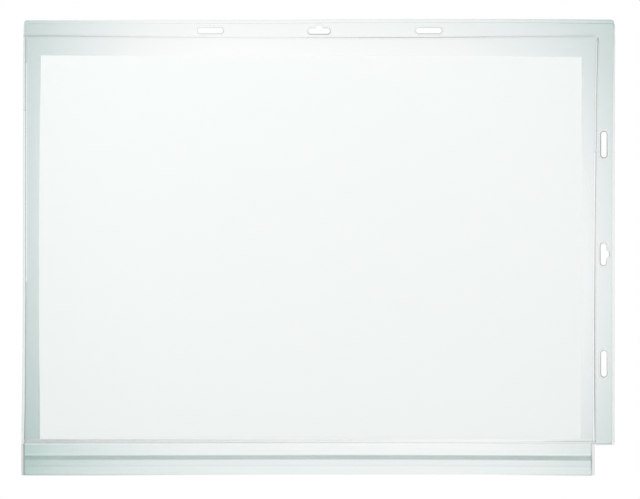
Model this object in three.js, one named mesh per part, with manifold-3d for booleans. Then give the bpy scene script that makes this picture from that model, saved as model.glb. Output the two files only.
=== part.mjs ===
// Waterproof display pocket for an A3 landscape sheet, in millimetres.
// Two clear plastic films are fused along the left side, the top and the right side. Beyond the top and
// right welds both films run on as a hanging flange with punched slots. A press-to-close zip closes the
// lower edge. The pocket hangs upright: +X is to the right seen from the front, +Z is up, and the front
// faces -Y. The origin is the centre of the middle slot of the top row.
import * as THREE from "three";
import { mergeVertices } from "three/addons/utils/BufferGeometryUtils.js";
import Module from "manifold-3d";

// The sheet of paper
const sheetWidth = 420;
const sheetHeight = 297;
const sheetThickness = 0.3;

// The films
const filmThickness = 0.3;
const layerGap = 0.3; // air between the two films at the welds, and between a film and the sheet
const layerShift = 2.0; // the front film is laid this much lower and further right than the rear film
const cornerRadius = 1.2;
const panRun = 8.0; // how far the front film takes to rise from its welded border to its panel

// Room between the sheet and the welds
const sheetMarginLeft = 11.2;
const sheetMarginRight = 10.0;
const sheetMarginTop = 13.3;
const sheetMarginBottom = 1.9;

// Welds
const seamWidth = 2.3; // the left side seam
const weldWidth = 2.0; // the welds that part the pocket from its flange
const tapeWeldHeight = 2.4;
const endWeldWidth = 2.1;

// The hanging flange and its slots
const topFlangeHeight = 11.9;
const sideFlangeWidth = 13.15;
const slotWidth = 5.6;
const oblongSlotLength = 21.3;
const euroSlotLength = 18.2;
const euroBumpWidth = 5.4;
const euroBumpHeight = 2.0;
const slotSpacing = 85.0;
const topSlotInset = 1.3; // film between the top weld and the top slots
const sideSlotInset = 2.0;
const sideRowRaise = 1.0; // the side row's middle slot lies this far above the pocket's mid height

// The zip strips
const tapeThickness = 0.3;
const lipHeight = 24.3; // from the films' lower edge to the strips' lower edge
const closureOverhang = 1.2; // the strips stand out past the films at the left
const closureInset = 0.3; // and stop this far short of the right weld
const lipGap = 0.3; // between a strip and what it swings clear of
const profileDrop = 10.5; // from the films' lower edge to the middle of the zip
const profileHeight = 3.1;
const profileRib = 0.25; // the tape is this much thicker behind the zip
const jawWall = 0.45;
const hookDepth = 0.25;
const hookReach = 0.25;
const jawFaceGap = 0.3;
const ribSideClearance = 0.2;
const ribNeckHeight = 0.6;
const ribTipHeight = 0.4;
const ribTipClearance = 0.4;
const hookClearance = 0.1;
const ridgeDrop = 17.0; // from the films' lower edge to the middle of the grip ridge
const ridgeHeight = 1.4;
const ridgeRise = 0.25;
const beadHeight = 1.0;
const beadRise = 0.2;

const arcSegments = 8;

// Places across the width, with the top row of slots centred on the whole width
const overallWidth =
  seamWidth + sheetMarginLeft + sheetWidth + sheetMarginRight + weldWidth + sideFlangeWidth;
const leftEdge = -overallWidth / 2;
const seamInner = leftEdge + seamWidth;
const sheetLeft = seamInner + sheetMarginLeft;
const rightWeldInner = sheetLeft + sheetWidth + sheetMarginRight;
const rightWeldOuter = rightWeldInner + weldWidth;
const frontRightEdge = rightWeldOuter + sideFlangeWidth;
const rearRightEdge = frontRightEdge - layerShift;
const sideSlotLine = rightWeldOuter + sideSlotInset + slotWidth / 2;
const closureLeft = leftEdge - closureOverhang;
const closureRight = rightWeldInner - closureInset;

// Places up the height
const topWeldUpper = -(slotWidth / 2 + topSlotInset);
const topWeldLower = topWeldUpper - weldWidth;
const rearTopEdge = topWeldUpper + topFlangeHeight;
const frontTopEdge = rearTopEdge - layerShift;
const sheetTop = topWeldLower - sheetMarginTop;
const tapeWeldUpper = sheetTop - sheetHeight - sheetMarginBottom;
const filmLowerEdge = tapeWeldUpper - tapeWeldHeight;
const closureLowerEdge = filmLowerEdge - lipHeight;
const sideRowMiddle = (topWeldUpper + closureLowerEdge) / 2 + sideRowRaise;

// Faces through the thickness, from the back to the front; y = 0 is the rear film's inner face
const rearFilmOuter = filmThickness;
const borderInner = -layerGap;
const sheetRearFace = -layerGap;
const panelInner = sheetRearFace - sheetThickness - layerGap;
const panelOuter = panelInner - filmThickness;
const rearTapeOuter = rearFilmOuter + tapeThickness;
const frontTapeOuter = panelOuter - tapeThickness;

const wasm = await Module();
wasm.setup();

function solidOf(geometry) {
  const bare = geometry.clone();
  bare.deleteAttribute("normal");
  bare.deleteAttribute("uv");
  const merged = mergeVertices(bare, 1e-4);
  const mesh = new wasm.Mesh({
    numProp: 3,
    vertProperties: new Float32Array(merged.attributes.position.array),
    triVerts: new Uint32Array(merged.index.array),
  });
  return new wasm.Manifold(mesh);
}

function geometryOf(solid) {
  const mesh = solid.getMesh();
  const geometry = new THREE.BufferGeometry();
  geometry.setAttribute("position", new THREE.BufferAttribute(mesh.vertProperties, 3));
  geometry.setIndex(new THREE.BufferAttribute(mesh.triVerts, 1));
  geometry.computeVertexNormals();
  return geometry;
}

// A flat plate: the outline lies in X and Z, and the plate runs from its rear face towards the front
function plate(outline, rearFace, thickness) {
  const options = { depth: thickness, bevelEnabled: false, curveSegments: arcSegments };
  const geometry = new THREE.ExtrudeGeometry(outline, options);
  geometry.rotateX(Math.PI / 2);
  geometry.translate(0, rearFace, 0);
  return geometry;
}

function roundedRectangle(left, right, bottom, top, radius) {
  const shape = new THREE.Shape();
  shape.moveTo(left + radius, bottom);
  shape.lineTo(right - radius, bottom);
  shape.absarc(right - radius, bottom + radius, radius, -Math.PI / 2, 0);
  shape.lineTo(right, top - radius);
  shape.absarc(right - radius, top - radius, radius, 0, Math.PI / 2);
  shape.lineTo(left + radius, top);
  shape.absarc(left + radius, top - radius, radius, Math.PI / 2, Math.PI);
  shape.lineTo(left, bottom + radius);
  shape.absarc(left + radius, bottom + radius, radius, Math.PI, Math.PI * 1.5);
  return shape;
}

function rectangle(left, right, bottom, top) {
  const shape = new THREE.Shape();
  shape.moveTo(left, bottom);
  shape.lineTo(right, bottom);
  shape.lineTo(right, top);
  shape.lineTo(left, top);
  return shape;
}

// A slot along its own u axis. A euro slot has a rounded bump on the side of the flange's free edge.
function slotPoints(length, bump) {
  const half = slotWidth / 2;
  const straight = length / 2 - half;
  const path = new THREE.Path();
  path.moveTo(-straight, -half);
  path.lineTo(straight, -half);
  path.absarc(straight, 0, half, -Math.PI / 2, Math.PI / 2);
  if (bump) {
    path.lineTo(euroBumpWidth / 2, half);
    path.quadraticCurveTo(0, half + 2 * euroBumpHeight, -euroBumpWidth / 2, half);
  }
  path.lineTo(-straight, half);
  path.absarc(-straight, 0, half, Math.PI / 2, Math.PI * 1.5);
  return path.getPoints(arcSegments);
}

function topSlot(centreX, length, bump) {
  const points = slotPoints(length, bump);
  return new THREE.Path(points.map((p) => new THREE.Vector2(centreX + p.x, p.y)));
}

function sideSlot(centreZ, length, bump) {
  const points = slotPoints(length, bump);
  return new THREE.Path(points.map((p) => new THREE.Vector2(sideSlotLine + p.y, centreZ - p.x)));
}

// The six punched slots, the middle one of each row a euro slot
function punchedSlots() {
  const slots = [];
  for (const step of [-1, 0, 1]) {
    const isEuro = step === 0;
    const length = isEuro ? euroSlotLength : oblongSlotLength;
    slots.push(topSlot(step * slotSpacing, length, isEuro));
    slots.push(sideSlot(sideRowMiddle - step * slotSpacing, length, isEuro));
  }
  return slots;
}

function rearFilm() {
  const outline = roundedRectangle(
    leftEdge, rearRightEdge, filmLowerEdge, rearTopEdge, cornerRadius);
  outline.holes.push(...punchedSlots());
  return plate(outline, rearFilmOuter, filmThickness);
}

// The room under the front film's panel, as a block with sloping sides: wide at the back, narrower by
// the run at the front, and cut straight at the pocket's mouth
function panBlock(wideFace, narrowFace, back, bottom) {
  const wide = [seamInner, rightWeldInner, topWeldLower];
  const narrow = [seamInner + panRun, rightWeldInner - panRun, topWeldLower - panRun];
  const corners = [];
  for (const [y, [left, right, top]] of [[back, wide], [wideFace, wide], [narrowFace, narrow]]) {
    corners.push(left, y, bottom, right, y, bottom, right, y, top, left, y, top);
  }
  const faces = [];
  for (const ring of [0, 4]) {
    for (let i = 0; i < 4; i++) {
      const a = ring + i;
      const b = ring + ((i + 1) % 4);
      faces.push(a, b, b + 4, a, b + 4, a + 4);
    }
  }
  faces.push(0, 2, 1, 0, 3, 2);
  faces.push(8, 9, 10, 8, 10, 11);
  const geometry = new THREE.BufferGeometry();
  geometry.setAttribute("position", new THREE.Float32BufferAttribute(corners, 3));
  geometry.setIndex(faces);
  return geometry;
}

// The front film: a flat border at the welds and the flange, and a panel that stands forward of the sheet
function frontFilm() {
  const outline = roundedRectangle(
    leftEdge, frontRightEdge, filmLowerEdge, frontTopEdge, cornerRadius);
  outline.holes.push(...punchedSlots());
  const border = solidOf(plate(outline, borderInner, filmThickness));
  const borderOuter = borderInner - filmThickness;
  const borderMiddle = borderInner - filmThickness / 2;
  const outside = solidOf(panBlock(borderOuter, panelOuter, borderMiddle, filmLowerEdge));
  const inside = solidOf(
    panBlock(borderInner, panelInner, borderInner + layerGap, filmLowerEdge - lipHeight));
  return geometryOf(border.add(outside).subtract(inside));
}

function weldStrip(left, right, bottom, top) {
  return plate(rectangle(left, right, bottom, top), 0, layerGap);
}

// A strip of one section drawn along X. Section points hold the height under the films' lower edge and
// the distance outwards from the tape's inner face.
function extrudedStrip(section, innerFace, outward, left, right) {
  const points = section.map(
    ([out, drop]) => new THREE.Vector2(innerFace + outward * out, filmLowerEdge - drop));
  const options = { depth: right - left, bevelEnabled: false };
  const geometry = new THREE.ExtrudeGeometry(new THREE.Shape(points), options);
  const alongX = new THREE.Matrix4().makeBasis(
    new THREE.Vector3(0, 1, 0),
    new THREE.Vector3(0, 0, 1),
    new THREE.Vector3(1, 0, 0),
  );
  geometry.applyMatrix4(alongX);
  geometry.translate(left, 0, 0);
  return geometry;
}

// The outer side of a strip's section, from the lower edge up: bead, grip ridge, thicker back of the zip
function outerSide() {
  const face = tapeThickness;
  return [
    [face + beadRise, lipHeight],
    [face + beadRise, lipHeight - beadHeight],
    [face, lipHeight - beadHeight - beadRise],
    [face, ridgeDrop + ridgeHeight / 2],
    [face + ridgeRise, ridgeDrop + ridgeHeight / 4],
    [face + ridgeRise, ridgeDrop - ridgeHeight / 4],
    [face, ridgeDrop - ridgeHeight / 2],
    [face, profileDrop + profileHeight / 2],
    [face + profileRib, profileDrop + profileHeight / 2 - profileRib],
    [face + profileRib, profileDrop - profileHeight / 2 + profileRib],
    [face, profileDrop - profileHeight / 2],
    [face, lipGap],
  ];
}

// Between the inner faces of the two tapes
const zipRoom = rearFilmOuter - panelOuter;
const jawHalf = profileHeight / 2;
const channelHalf = jawHalf - jawWall;
const mouthHalf = channelHalf - hookReach;
const ribHeadHalf = mouthHalf - ribSideClearance;

// The front strip carries the arrow-shaped rib of the zip
function frontStripSection() {
  const barb = jawFaceGap + hookDepth + hookClearance;
  const tip = zipRoom - ribTipClearance;
  const rib = [
    [0, ribNeckHeight / 2],
    [-barb, ribNeckHeight / 2],
    [-barb, ribHeadHalf],
    [-tip, ribTipHeight / 2],
  ];
  const upper = rib.map(([out, half]) => [out, profileDrop - half]);
  const lower = rib.map(([out, half]) => [out, profileDrop + half]).reverse();
  return [[0, lipGap], ...upper, ...lower, [0, lipHeight], ...outerSide()];
}

// The rear strip carries the channel that the rib snaps into
function rearStripSection() {
  const jawLength = zipRoom - jawFaceGap;
  const jaw = [
    [0, jawHalf],
    [-jawLength, jawHalf],
    [-jawLength, mouthHalf],
    [-(jawLength - hookDepth), mouthHalf],
    [-(jawLength - hookDepth), channelHalf],
    [0, channelHalf],
  ];
  const upper = jaw.map(([out, half]) => [out, profileDrop - half]);
  const lower = jaw.map(([out, half]) => [out, profileDrop + half]).reverse();
  return [[0, lipGap], ...upper, ...lower, [0, lipHeight], ...outerSide()];
}

const stripLeft = closureLeft + endWeldWidth + lipGap;
const stripRight = closureRight - endWeldWidth - lipGap;

function zipEndWeld(left) {
  const outline = rectangle(left, left + endWeldWidth, closureLowerEdge, filmLowerEdge);
  return plate(outline, rearTapeOuter, rearTapeOuter - frontTapeOuter);
}

function tapeWeld(rearFace) {
  const outline = rectangle(closureLeft, closureRight, filmLowerEdge, tapeWeldUpper);
  return plate(outline, rearFace, tapeThickness);
}

function insertSheet() {
  const outline = rectangle(sheetLeft, sheetLeft + sheetWidth, sheetTop - sheetHeight, sheetTop);
  return plate(outline, sheetRearFace, sheetThickness);
}

// Clear soft PVC film with a faint grey-green tint
function clearFilm() {
  return new THREE.MeshStandardMaterial({
    color: "#dbe6e3", roughness: 0.18, metalness: 0, transparent: true, opacity: 0.4,
  });
}

// The same plastic where it is fused solid
function fusedFilm() {
  return new THREE.MeshStandardMaterial({
    color: "#e6efec", roughness: 0.3, metalness: 0, transparent: true, opacity: 0.6,
  });
}

// The zip strips are a little thicker and greyer
function zipPlastic() {
  return new THREE.MeshStandardMaterial({
    color: "#c3d1ce", roughness: 0.25, metalness: 0, transparent: true, opacity: 0.6,
  });
}

function whitePaper() {
  return new THREE.MeshStandardMaterial({ color: "#f7fbfa", roughness: 0.9, metalness: 0 });
}

const pocket = new THREE.Group();

function add(name, geometry, material) {
  const mesh = new THREE.Mesh(geometry, material);
  mesh.name = name;
  pocket.add(mesh);
}

add("rear_film", rearFilm(), clearFilm());
add("front_film", frontFilm(), clearFilm());
add("left_seam", weldStrip(leftEdge, seamInner, filmLowerEdge, topWeldLower), fusedFilm());
add("top_weld", weldStrip(leftEdge, rightWeldInner, topWeldLower, topWeldUpper), fusedFilm());
add("right_weld", weldStrip(rightWeldInner, rightWeldOuter, filmLowerEdge, topWeldUpper), fusedFilm());
add("rear_tape_weld", tapeWeld(rearTapeOuter), fusedFilm());
add("front_tape_weld", tapeWeld(panelOuter), fusedFilm());
add("zip_end_weld_left", zipEndWeld(closureLeft), fusedFilm());
add("zip_end_weld_right", zipEndWeld(closureRight - endWeldWidth), fusedFilm());
add("rear_zip_strip", extrudedStrip(rearStripSection(), rearFilmOuter, 1, stripLeft, stripRight), zipPlastic());
add("front_zip_strip", extrudedStrip(frontStripSection(), panelOuter, -1, stripLeft, stripRight), zipPlastic());
add("insert_sheet", insertSheet(), whitePaper());

export default pocket;
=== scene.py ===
"""Looks for the waterproof display pocket: clear PVC films, welds, punched slots, zip and white sheet.

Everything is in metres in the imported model's frame: X to the right, Z up, the front faces -Y.
"""

import math

import bmesh
import bpy
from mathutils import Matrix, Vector
from mathutils.geometry import delaunay_2d_cdt


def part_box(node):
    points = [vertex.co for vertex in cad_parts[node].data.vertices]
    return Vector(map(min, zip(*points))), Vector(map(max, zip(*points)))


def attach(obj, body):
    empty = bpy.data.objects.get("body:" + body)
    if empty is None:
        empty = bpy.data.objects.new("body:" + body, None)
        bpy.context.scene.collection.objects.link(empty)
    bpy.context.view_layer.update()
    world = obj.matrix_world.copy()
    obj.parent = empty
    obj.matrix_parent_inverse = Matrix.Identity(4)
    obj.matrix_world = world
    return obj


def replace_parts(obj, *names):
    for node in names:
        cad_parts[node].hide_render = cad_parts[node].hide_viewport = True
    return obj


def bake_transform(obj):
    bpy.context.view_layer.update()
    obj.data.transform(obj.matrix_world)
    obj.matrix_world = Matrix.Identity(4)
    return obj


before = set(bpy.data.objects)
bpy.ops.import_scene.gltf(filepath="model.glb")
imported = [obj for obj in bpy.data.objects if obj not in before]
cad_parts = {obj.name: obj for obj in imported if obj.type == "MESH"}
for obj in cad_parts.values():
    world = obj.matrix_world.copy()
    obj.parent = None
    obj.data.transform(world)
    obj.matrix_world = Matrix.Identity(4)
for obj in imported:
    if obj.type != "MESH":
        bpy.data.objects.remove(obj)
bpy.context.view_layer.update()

MM = 0.001
FRONT = -1.0
BACK = 1.0


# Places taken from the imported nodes
rear_low, rear_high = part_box("rear_film")
front_low, front_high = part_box("front_film")
_, seam_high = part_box("left_seam")
top_weld_low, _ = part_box("top_weld")
right_weld_low, right_weld_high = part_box("right_weld")
front_tape_low, front_tape_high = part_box("front_tape_weld")
rear_tape_low, rear_tape_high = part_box("rear_tape_weld")
end_left_low, end_left_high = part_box("zip_end_weld_left")
end_right_low, end_right_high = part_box("zip_end_weld_right")
front_zip_low, front_zip_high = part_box("front_zip_strip")
rear_zip_low, rear_zip_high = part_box("rear_zip_strip")
sheet_low, sheet_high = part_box("insert_sheet")

FILM = 0.3 * MM
SEAT = 0.02 * MM
REAR_OUTER = rear_high.y
REAR_INNER = rear_low.y
BORDER_INNER = front_high.y
BORDER_OUTER = BORDER_INNER - FILM
PANEL_OUTER = front_low.y
PANEL_INNER = PANEL_OUTER + FILM
PAN_RUN = 8 * MM
FILM_FOOT = rear_low.z
TOP_LEVEL = rear_high.z
CORNER = 1.2 * MM
TOP_CORNER = 2.4 * MM

# The punched slots
SLOT_WIDTH = 5.6 * MM
OBLONG_LENGTH = 21.3 * MM
EURO_LENGTH = 18.2 * MM
BUMP_HEIGHT = 2.3 * MM
BUMP_REACH = 4.2 * MM
BUMP_FLAT = 1.0 * MM
BUMP_START = 0.3
EURO_DROP = 0.4 * MM
# Each slot's place along its row in mm, whether it is a euro slot, and how deep its painted rim shadow is
# drawn
TOP_ROW = ((-84.4, False, 0.9), (0.0, True, 1.3), (85.2, False, 1.2))
SIDE_ROW = ((-88.5, False, 2.2), (-173.6, True, 1.4), (-258.5, False, 1.5))
SIDE_LINE = right_weld_high.x + 4.8 * MM
# Each slot's centre, whether it is a euro slot, whether it stands upright, and how deep its painted rim
# shadow is
SLOTS = [(x * MM, 0.0, euro, False, shadow_depth) for x, euro, shadow_depth in TOP_ROW]
SLOTS += [(SIDE_LINE, z * MM, euro, True, shadow_depth) for z, euro, shadow_depth in SIDE_ROW]


# Nodes and colours


def linear(hex_colour, alpha=1.0):
    """An sRGB hex colour as the linear values that a shader takes."""
    channels = [int(hex_colour[i : i + 2], 16) / 255 for i in (1, 3, 5)]
    done = [c / 12.92 if c <= 0.04045 else ((c + 0.055) / 1.055) ** 2.4 for c in channels]
    return (*done, alpha)


MATHS = "ShaderNodeMath"
NOISE = "ShaderNodeTexNoise"


def add(tree, kind, links=(), **settings):
    """Adds a node with its settings. links gives its inputs in order, or by name or number, each as a
    value, a socket, or a node whose first output it takes."""
    node = tree.nodes.new(kind)
    for name, value in settings.items():
        setattr(node, name, value)
    for name, value in links.items() if isinstance(links, dict) else enumerate(links):
        if isinstance(value, bpy.types.Node):
            value = value.outputs[0]
        if isinstance(value, bpy.types.NodeSocket):
            tree.links.new(value, node.inputs[name])
        else:
            node.inputs[name].default_value = value
    return node


def empty_material(name):
    material = bpy.data.materials.new(name)
    material.use_nodes = True
    material.node_tree.nodes.clear()
    return material, material.node_tree


# How deep the plastic's grey-green haze is, with painted shade added: the film's even haze is its own, but
# the depth is drawn clearest in the middle and deeper towards the sides, the top and the foot, as painted
# light falloff. Each weight goes with one way in which the depth changes over the pocket. Across and up, the
# painted falloff has a centre and a half size.
SHADE_FALLOFF_ACROSS = (10 * MM, 225 * MM)
SHADE_FALLOFF_UP = (-160 * MM, 180 * MM)
SHADE_FALLOFF_SIDES_POWER = 3.6
FILM_HAZE_AND_SHADE = {
    "even": -0.109,
    "sides": 0.351,
    "top and foot": 0.251,
    "diagonal": 0.118,
    "corners": -0.027,
    "rightwards": -0.026,
    "upwards": -0.027,
    "right side": 0.008,
    "right corners": -0.046,
}
# The zip tapes' haze with the same painted shade falloff, which also deepens towards the tapes' left end.
TAPE_HAZE_AND_SHADE = {
    "even": -0.112,
    "sides": 0.372,
    "top and foot": 0.235,
    "diagonal": 0.055,
    "corners": -0.086,
    "left end": 0.06,
}
# Where the tapes' painted shade starts to deepen towards their left end, as a share of the half size across,
# and how fast.
SHADE_LEFT_END = 0.96
SHADE_LEFT_RISE = 10.0
HAZE_AND_SHADE_SOFTNESS = 0.06
CLOUD_SIZE = 45 * MM
CLOUD_DEPTH = 0.02


def haze_and_shade_depth(tree, place, weights):
    """How much of the light the two films together take away at this place: their haze, deepened towards the
    sides and ends by painted shade.
    """
    x, _, z = add(tree, "ShaderNodeSeparateXYZ", [place]).outputs
    u, v = (
        add(tree, MATHS, [axis, 1 / half, -centre / half], operation="MULTIPLY_ADD")
        for axis, (centre, half) in ((x, SHADE_FALLOFF_ACROSS), (z, SHADE_FALLOFF_UP))
    )
    across = add(tree, MATHS, [u], operation="ABSOLUTE")
    sides = add(tree, MATHS, [across, SHADE_FALLOFF_SIDES_POWER], operation="POWER")
    ends = add(tree, MATHS, [v, v], operation="MULTIPLY")
    hand = add(tree, MATHS, [u], operation="SIGN")
    right = add(tree, MATHS, [sides, hand], operation="MULTIPLY")
    past_left = [u, -SHADE_LEFT_RISE, -SHADE_LEFT_RISE * SHADE_LEFT_END]
    past_left = add(tree, MATHS, past_left, operation="MULTIPLY_ADD")
    shapes = {
        "even": 1.0,
        "sides": sides,
        "top and foot": ends,
        "diagonal": add(tree, MATHS, [u, v], operation="MULTIPLY"),
        "corners": add(tree, MATHS, [sides, ends], operation="MULTIPLY"),
        "rightwards": u,
        "upwards": v,
        "right side": right,
        "right corners": add(tree, MATHS, [right, v], operation="MULTIPLY"),
        "left end": add(tree, MATHS, [past_left, 0.0], operation="MAXIMUM"),
    }
    cloud = add(tree, NOISE, {"Vector": place, "Scale": 1 / CLOUD_SIZE, "Detail": 2.0})
    total = add(tree, MATHS, [cloud, CLOUD_DEPTH, -CLOUD_DEPTH / 2], operation="MULTIPLY_ADD")
    for name, weight in weights.items():
        total = add(tree, MATHS, [shapes[name], weight, total], operation="MULTIPLY_ADD")
    return add(tree, MATHS, [total, 0.0, HAZE_AND_SHADE_SOFTNESS], operation="SMOOTH_MAX")


SPECK_SHARE = 0.25
GRAZING_ALPHA = 0.55
GRAZING_POWER = 4.0
WRINKLE_SIZE = 18 * MM
WRINKLE_DEPTH = 0.02 * MM
WRINKLE_STRENGTH = 0.4
SMEAR_SIZE = 9 * MM
SMEAR_SPREAD = 0.12
DIE_LINE_STRETCH = (1 / (90 * MM), 1 / (90 * MM), 1 / (1.5 * MM))
PVC_IOR = 1.53


def clear_plastic(
    name, colour, alpha, gain=0.0, haze_and_shade=FILM_HAZE_AND_SHADE, roughness=0.12, darkened=False, die_lines=0.0
):
    """Clear plasticised PVC.

    alpha is what every face hides at least, and gain adds the depth of the haze with its painted shade
    falloff.
    A set darkness flag scales alpha by the piece's own darkness weights: bar pressure on the weld grooves,
    wall thickness on the zip, and painted shade on the cut edges, slot rims and zip foot. die_lines adds the
    fine streaks that an extruder's die leaves.
    """
    material, tree = empty_material(name)
    place = add(tree, "ShaderNodeTexCoord").outputs["Object"]
    speck = add(tree, NOISE, {"Vector": place, "Scale": 1 / CLOUD_SIZE, "Detail": 3.0})
    drift = [speck, SPECK_SHARE * alpha, (1 - SPECK_SHARE / 2) * alpha]
    hidden = add(tree, MATHS, drift, operation="MULTIPLY_ADD")
    if darkened:
        darkness = add(tree, "ShaderNodeAttribute", attribute_type="GEOMETRY", attribute_name="darkness")
        hidden = add(tree, MATHS, [hidden, darkness.outputs["Fac"]], operation="MULTIPLY")
    if gain:
        depth = add(tree, MATHS, [haze_and_shade_depth(tree, place, haze_and_shade), -gain], operation="MULTIPLY")
        passed = add(tree, MATHS, [depth], operation="EXPONENT")
        taken = add(tree, MATHS, [1.0, passed], operation="SUBTRACT")
        hidden = add(tree, MATHS, [taken, hidden], operation="ADD")
    if die_lines:
        stretch = add(tree, "ShaderNodeMapping", {"Vector": place, "Scale": DIE_LINE_STRETCH})
        streak = add(tree, NOISE, {"Vector": stretch, "Scale": 1.0, "Detail": 2.0})
        streak = add(tree, MATHS, [streak, die_lines, -die_lines / 2], operation="MULTIPLY_ADD")
        hidden = add(tree, MATHS, [hidden, streak], operation="ADD")
    facing = add(tree, "ShaderNodeLayerWeight", {"Blend": 0.5}).outputs["Facing"]
    grazing = add(tree, MATHS, [facing, GRAZING_POWER], operation="POWER")
    hidden = add(tree, MATHS, [hidden, 0.0], operation="MAXIMUM")
    grazing = [grazing, GRAZING_ALPHA, hidden]
    hidden = add(tree, MATHS, grazing, operation="MULTIPLY_ADD", use_clamp=True)
    wave = add(tree, NOISE, {"Vector": place, "Scale": 1 / WRINKLE_SIZE, "Detail": 3.0})
    bump = {"Height": wave, "Strength": WRINKLE_STRENGTH, "Distance": WRINKLE_DEPTH}
    smear = add(tree, NOISE, {"Vector": place, "Scale": 1 / SMEAR_SIZE, "Detail": 4.0})
    smear = [smear, SMEAR_SPREAD, roughness - SMEAR_SPREAD / 2]
    plastic = {
        "Base Color": linear(colour),
        "Roughness": add(tree, MATHS, smear, operation="MULTIPLY_ADD"),
        "IOR": PVC_IOR,
        "Alpha": hidden,
        "Normal": add(tree, "ShaderNodeBump", bump),
    }
    surface = add(tree, "ShaderNodeBsdfPrincipled", plastic)
    add(tree, "ShaderNodeOutputMaterial", {"Surface": surface})
    return material


FORMATION_SIZE = 6 * MM
TOOTH_SIZE = 0.6 * MM
TOOTH_DEPTH = 0.01 * MM
TOOTH_STRENGTH = 0.15


def white_paper():
    """Uncoated white copy paper: matt, with a faint cloudy formation and a fine felt-like tooth."""
    material, tree = empty_material("white_copy_paper")
    place = add(tree, "ShaderNodeTexCoord").outputs["Object"]
    formation = add(tree, NOISE, {"Vector": place, "Scale": 1 / FORMATION_SIZE, "Detail": 5.0})
    shades = {"Factor": formation, "A": linear("#F7FAF9"), "B": linear("#FAFCFB")}
    tint = add(tree, "ShaderNodeMix", shades, data_type="RGBA")
    tooth = add(tree, NOISE, {"Vector": place, "Scale": 1 / TOOTH_SIZE, "Detail": 2.0})
    bump = {"Height": tooth, "Strength": TOOTH_STRENGTH, "Distance": TOOTH_DEPTH}
    sheet = {
        "Base Color": tint.outputs["Result"],
        "Roughness": 0.85,
        "Specular IOR Level": 0.3,
        "Normal": add(tree, "ShaderNodeBump", bump),
    }
    surface = add(tree, "ShaderNodeBsdfPrincipled", sheet)
    add(tree, "ShaderNodeOutputMaterial", {"Surface": surface})
    return material


rear_film_pvc = clear_plastic("clear_pvc_rear_film", "#80AFA7", 0.002, 0.85)
# Rear film drawn with less haze and less painted shade, for pale lanes beside and under the welds that are
# painted highlight
paler_lane_pvc = clear_plastic("clear_pvc_paler_highlight_lane", "#80AFA7", 0.002, 0.25)
pale_lane_pvc = clear_plastic("clear_pvc_pale_highlight_lane", "#80AFA7", 0.002, 0.60)
front_film_pvc = clear_plastic("clear_pvc_front_film", "#A8BEBA", 0.004, 0.04)
# Fused weld plastic, drawn pale beside the grooves as painted highlight
fused_and_highlight_pvc = clear_plastic("pvc_fused_with_painted_highlight", "#DDEAE7", 0.01, 0.03, roughness=0.25)
groove_pvc = clear_plastic("pvc_pressed_weld_groove", "#6C807B", 0.11, 0.08, roughness=0.3, darkened=True)
end_flash_pvc = clear_plastic("pvc_flash_past_the_zip_ends", "#A9BDB9", 0.13, 0.20, roughness=0.2)
# The dark line of the films' cut edges and of the fold is painted shade
edge_and_fold_shade_pvc = clear_plastic("pvc_painted_edge_and_fold_shade", "#758D87", 0.035, 0.03, roughness=0.3, darkened=True)
single_edge_pvc = clear_plastic("pvc_single_film_edge", "#86ADA6", 0.03, 0.35, roughness=0.3)
# Painted shadow of the punched slot edges, drawn as a dark ring; the weld's nip mark uses it too
edge_shadow_and_nip_pvc = clear_plastic("pvc_painted_edge_shadow_and_nip", "#6C807B", 0.24, 0.05, roughness=0.3, darkened=True)
# A painted highlight round each slot, stronger where the painted shade falloff is deeper
halo_highlight_pvc = clear_plastic("pvc_painted_highlight_round_slots", "#FBFEFD", 0.0, 1.5, roughness=0.2)
tape_pvc = clear_plastic("extruded_pvc_zip_tape", "#6EB1A4", 0.008, 0.365, TAPE_HAZE_AND_SHADE, die_lines=0.02)
web_pvc = clear_plastic("extruded_pvc_thicker_web", "#6CA69C", 0.030, 0.38, TAPE_HAZE_AND_SHADE, die_lines=0.02)
# A small step above the zip's profile, drawn bright as a painted highlight
shoulder_highlight_pvc = clear_plastic("extruded_pvc_painted_shoulder_highlight", "#8FC4BA", 0.008, 0.26, TAPE_HAZE_AND_SHADE)
profile_pvc = clear_plastic("extruded_pvc_zip_profile", "#3A8278", 0.14, 0.10, TAPE_HAZE_AND_SHADE, darkened=True)
profile_core_pvc = clear_plastic("extruded_pvc_zip_core", "#347E74", 0.17, 0.10, TAPE_HAZE_AND_SHADE, darkened=True)
ridge_pvc = clear_plastic("extruded_pvc_grip_ridge", "#6A978F", 0.040, 0.40, TAPE_HAZE_AND_SHADE)
# The zip's cut foot, drawn dark as painted shade
foot_edge_shade_pvc = clear_plastic("extruded_pvc_painted_foot_edge_shade", "#5F7773", 0.09, 0.26, TAPE_HAZE_AND_SHADE, darkened=True)
paper = white_paper()

# The longest steps along an outline, a lane, a bead, a bar or strip and a slot, and the films' grid
OUTLINE_STEP = 4 * MM
LANE_STEP = 8 * MM
BEAD_STEP = 5 * MM
STATION_STEP = 4 * MM
SLOT_STEP = 0.9 * MM
GRID_CELL = 8 * MM
# How far the grid's points keep from a film's outline and from its holes
OUTLINE_ROOM = 1.6 * MM
HOLE_ROOM = 1.2 * MM
# Closer points than this, in metres, are one point
SAME_POINT = 1e-7


# Outlines in X and Z


def smooth(t):
    t = min(max(t, 0.0), 1.0)
    return t * t * (3 - 2 * t)


def along(stations, place):
    """Reads a value at a place from stations, which are pairs of place and value in rising order."""
    if place <= stations[0][0]:
        return stations[0][1]
    for (a, low), (b, high) in zip(stations, stations[1:]):
        if place <= b:
            return low + (high - low) * (place - a) / (b - a)
    return stations[-1][1]


def line(*stations):
    """Stations from mm: a place up the side or along the top, the place across, and any presses."""
    return [(a * MM, b * MM, *presses) for a, b, *presses in stations]


def cut_side(*stations):
    places = line(*stations)
    return lambda place: along(places, place)


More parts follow.
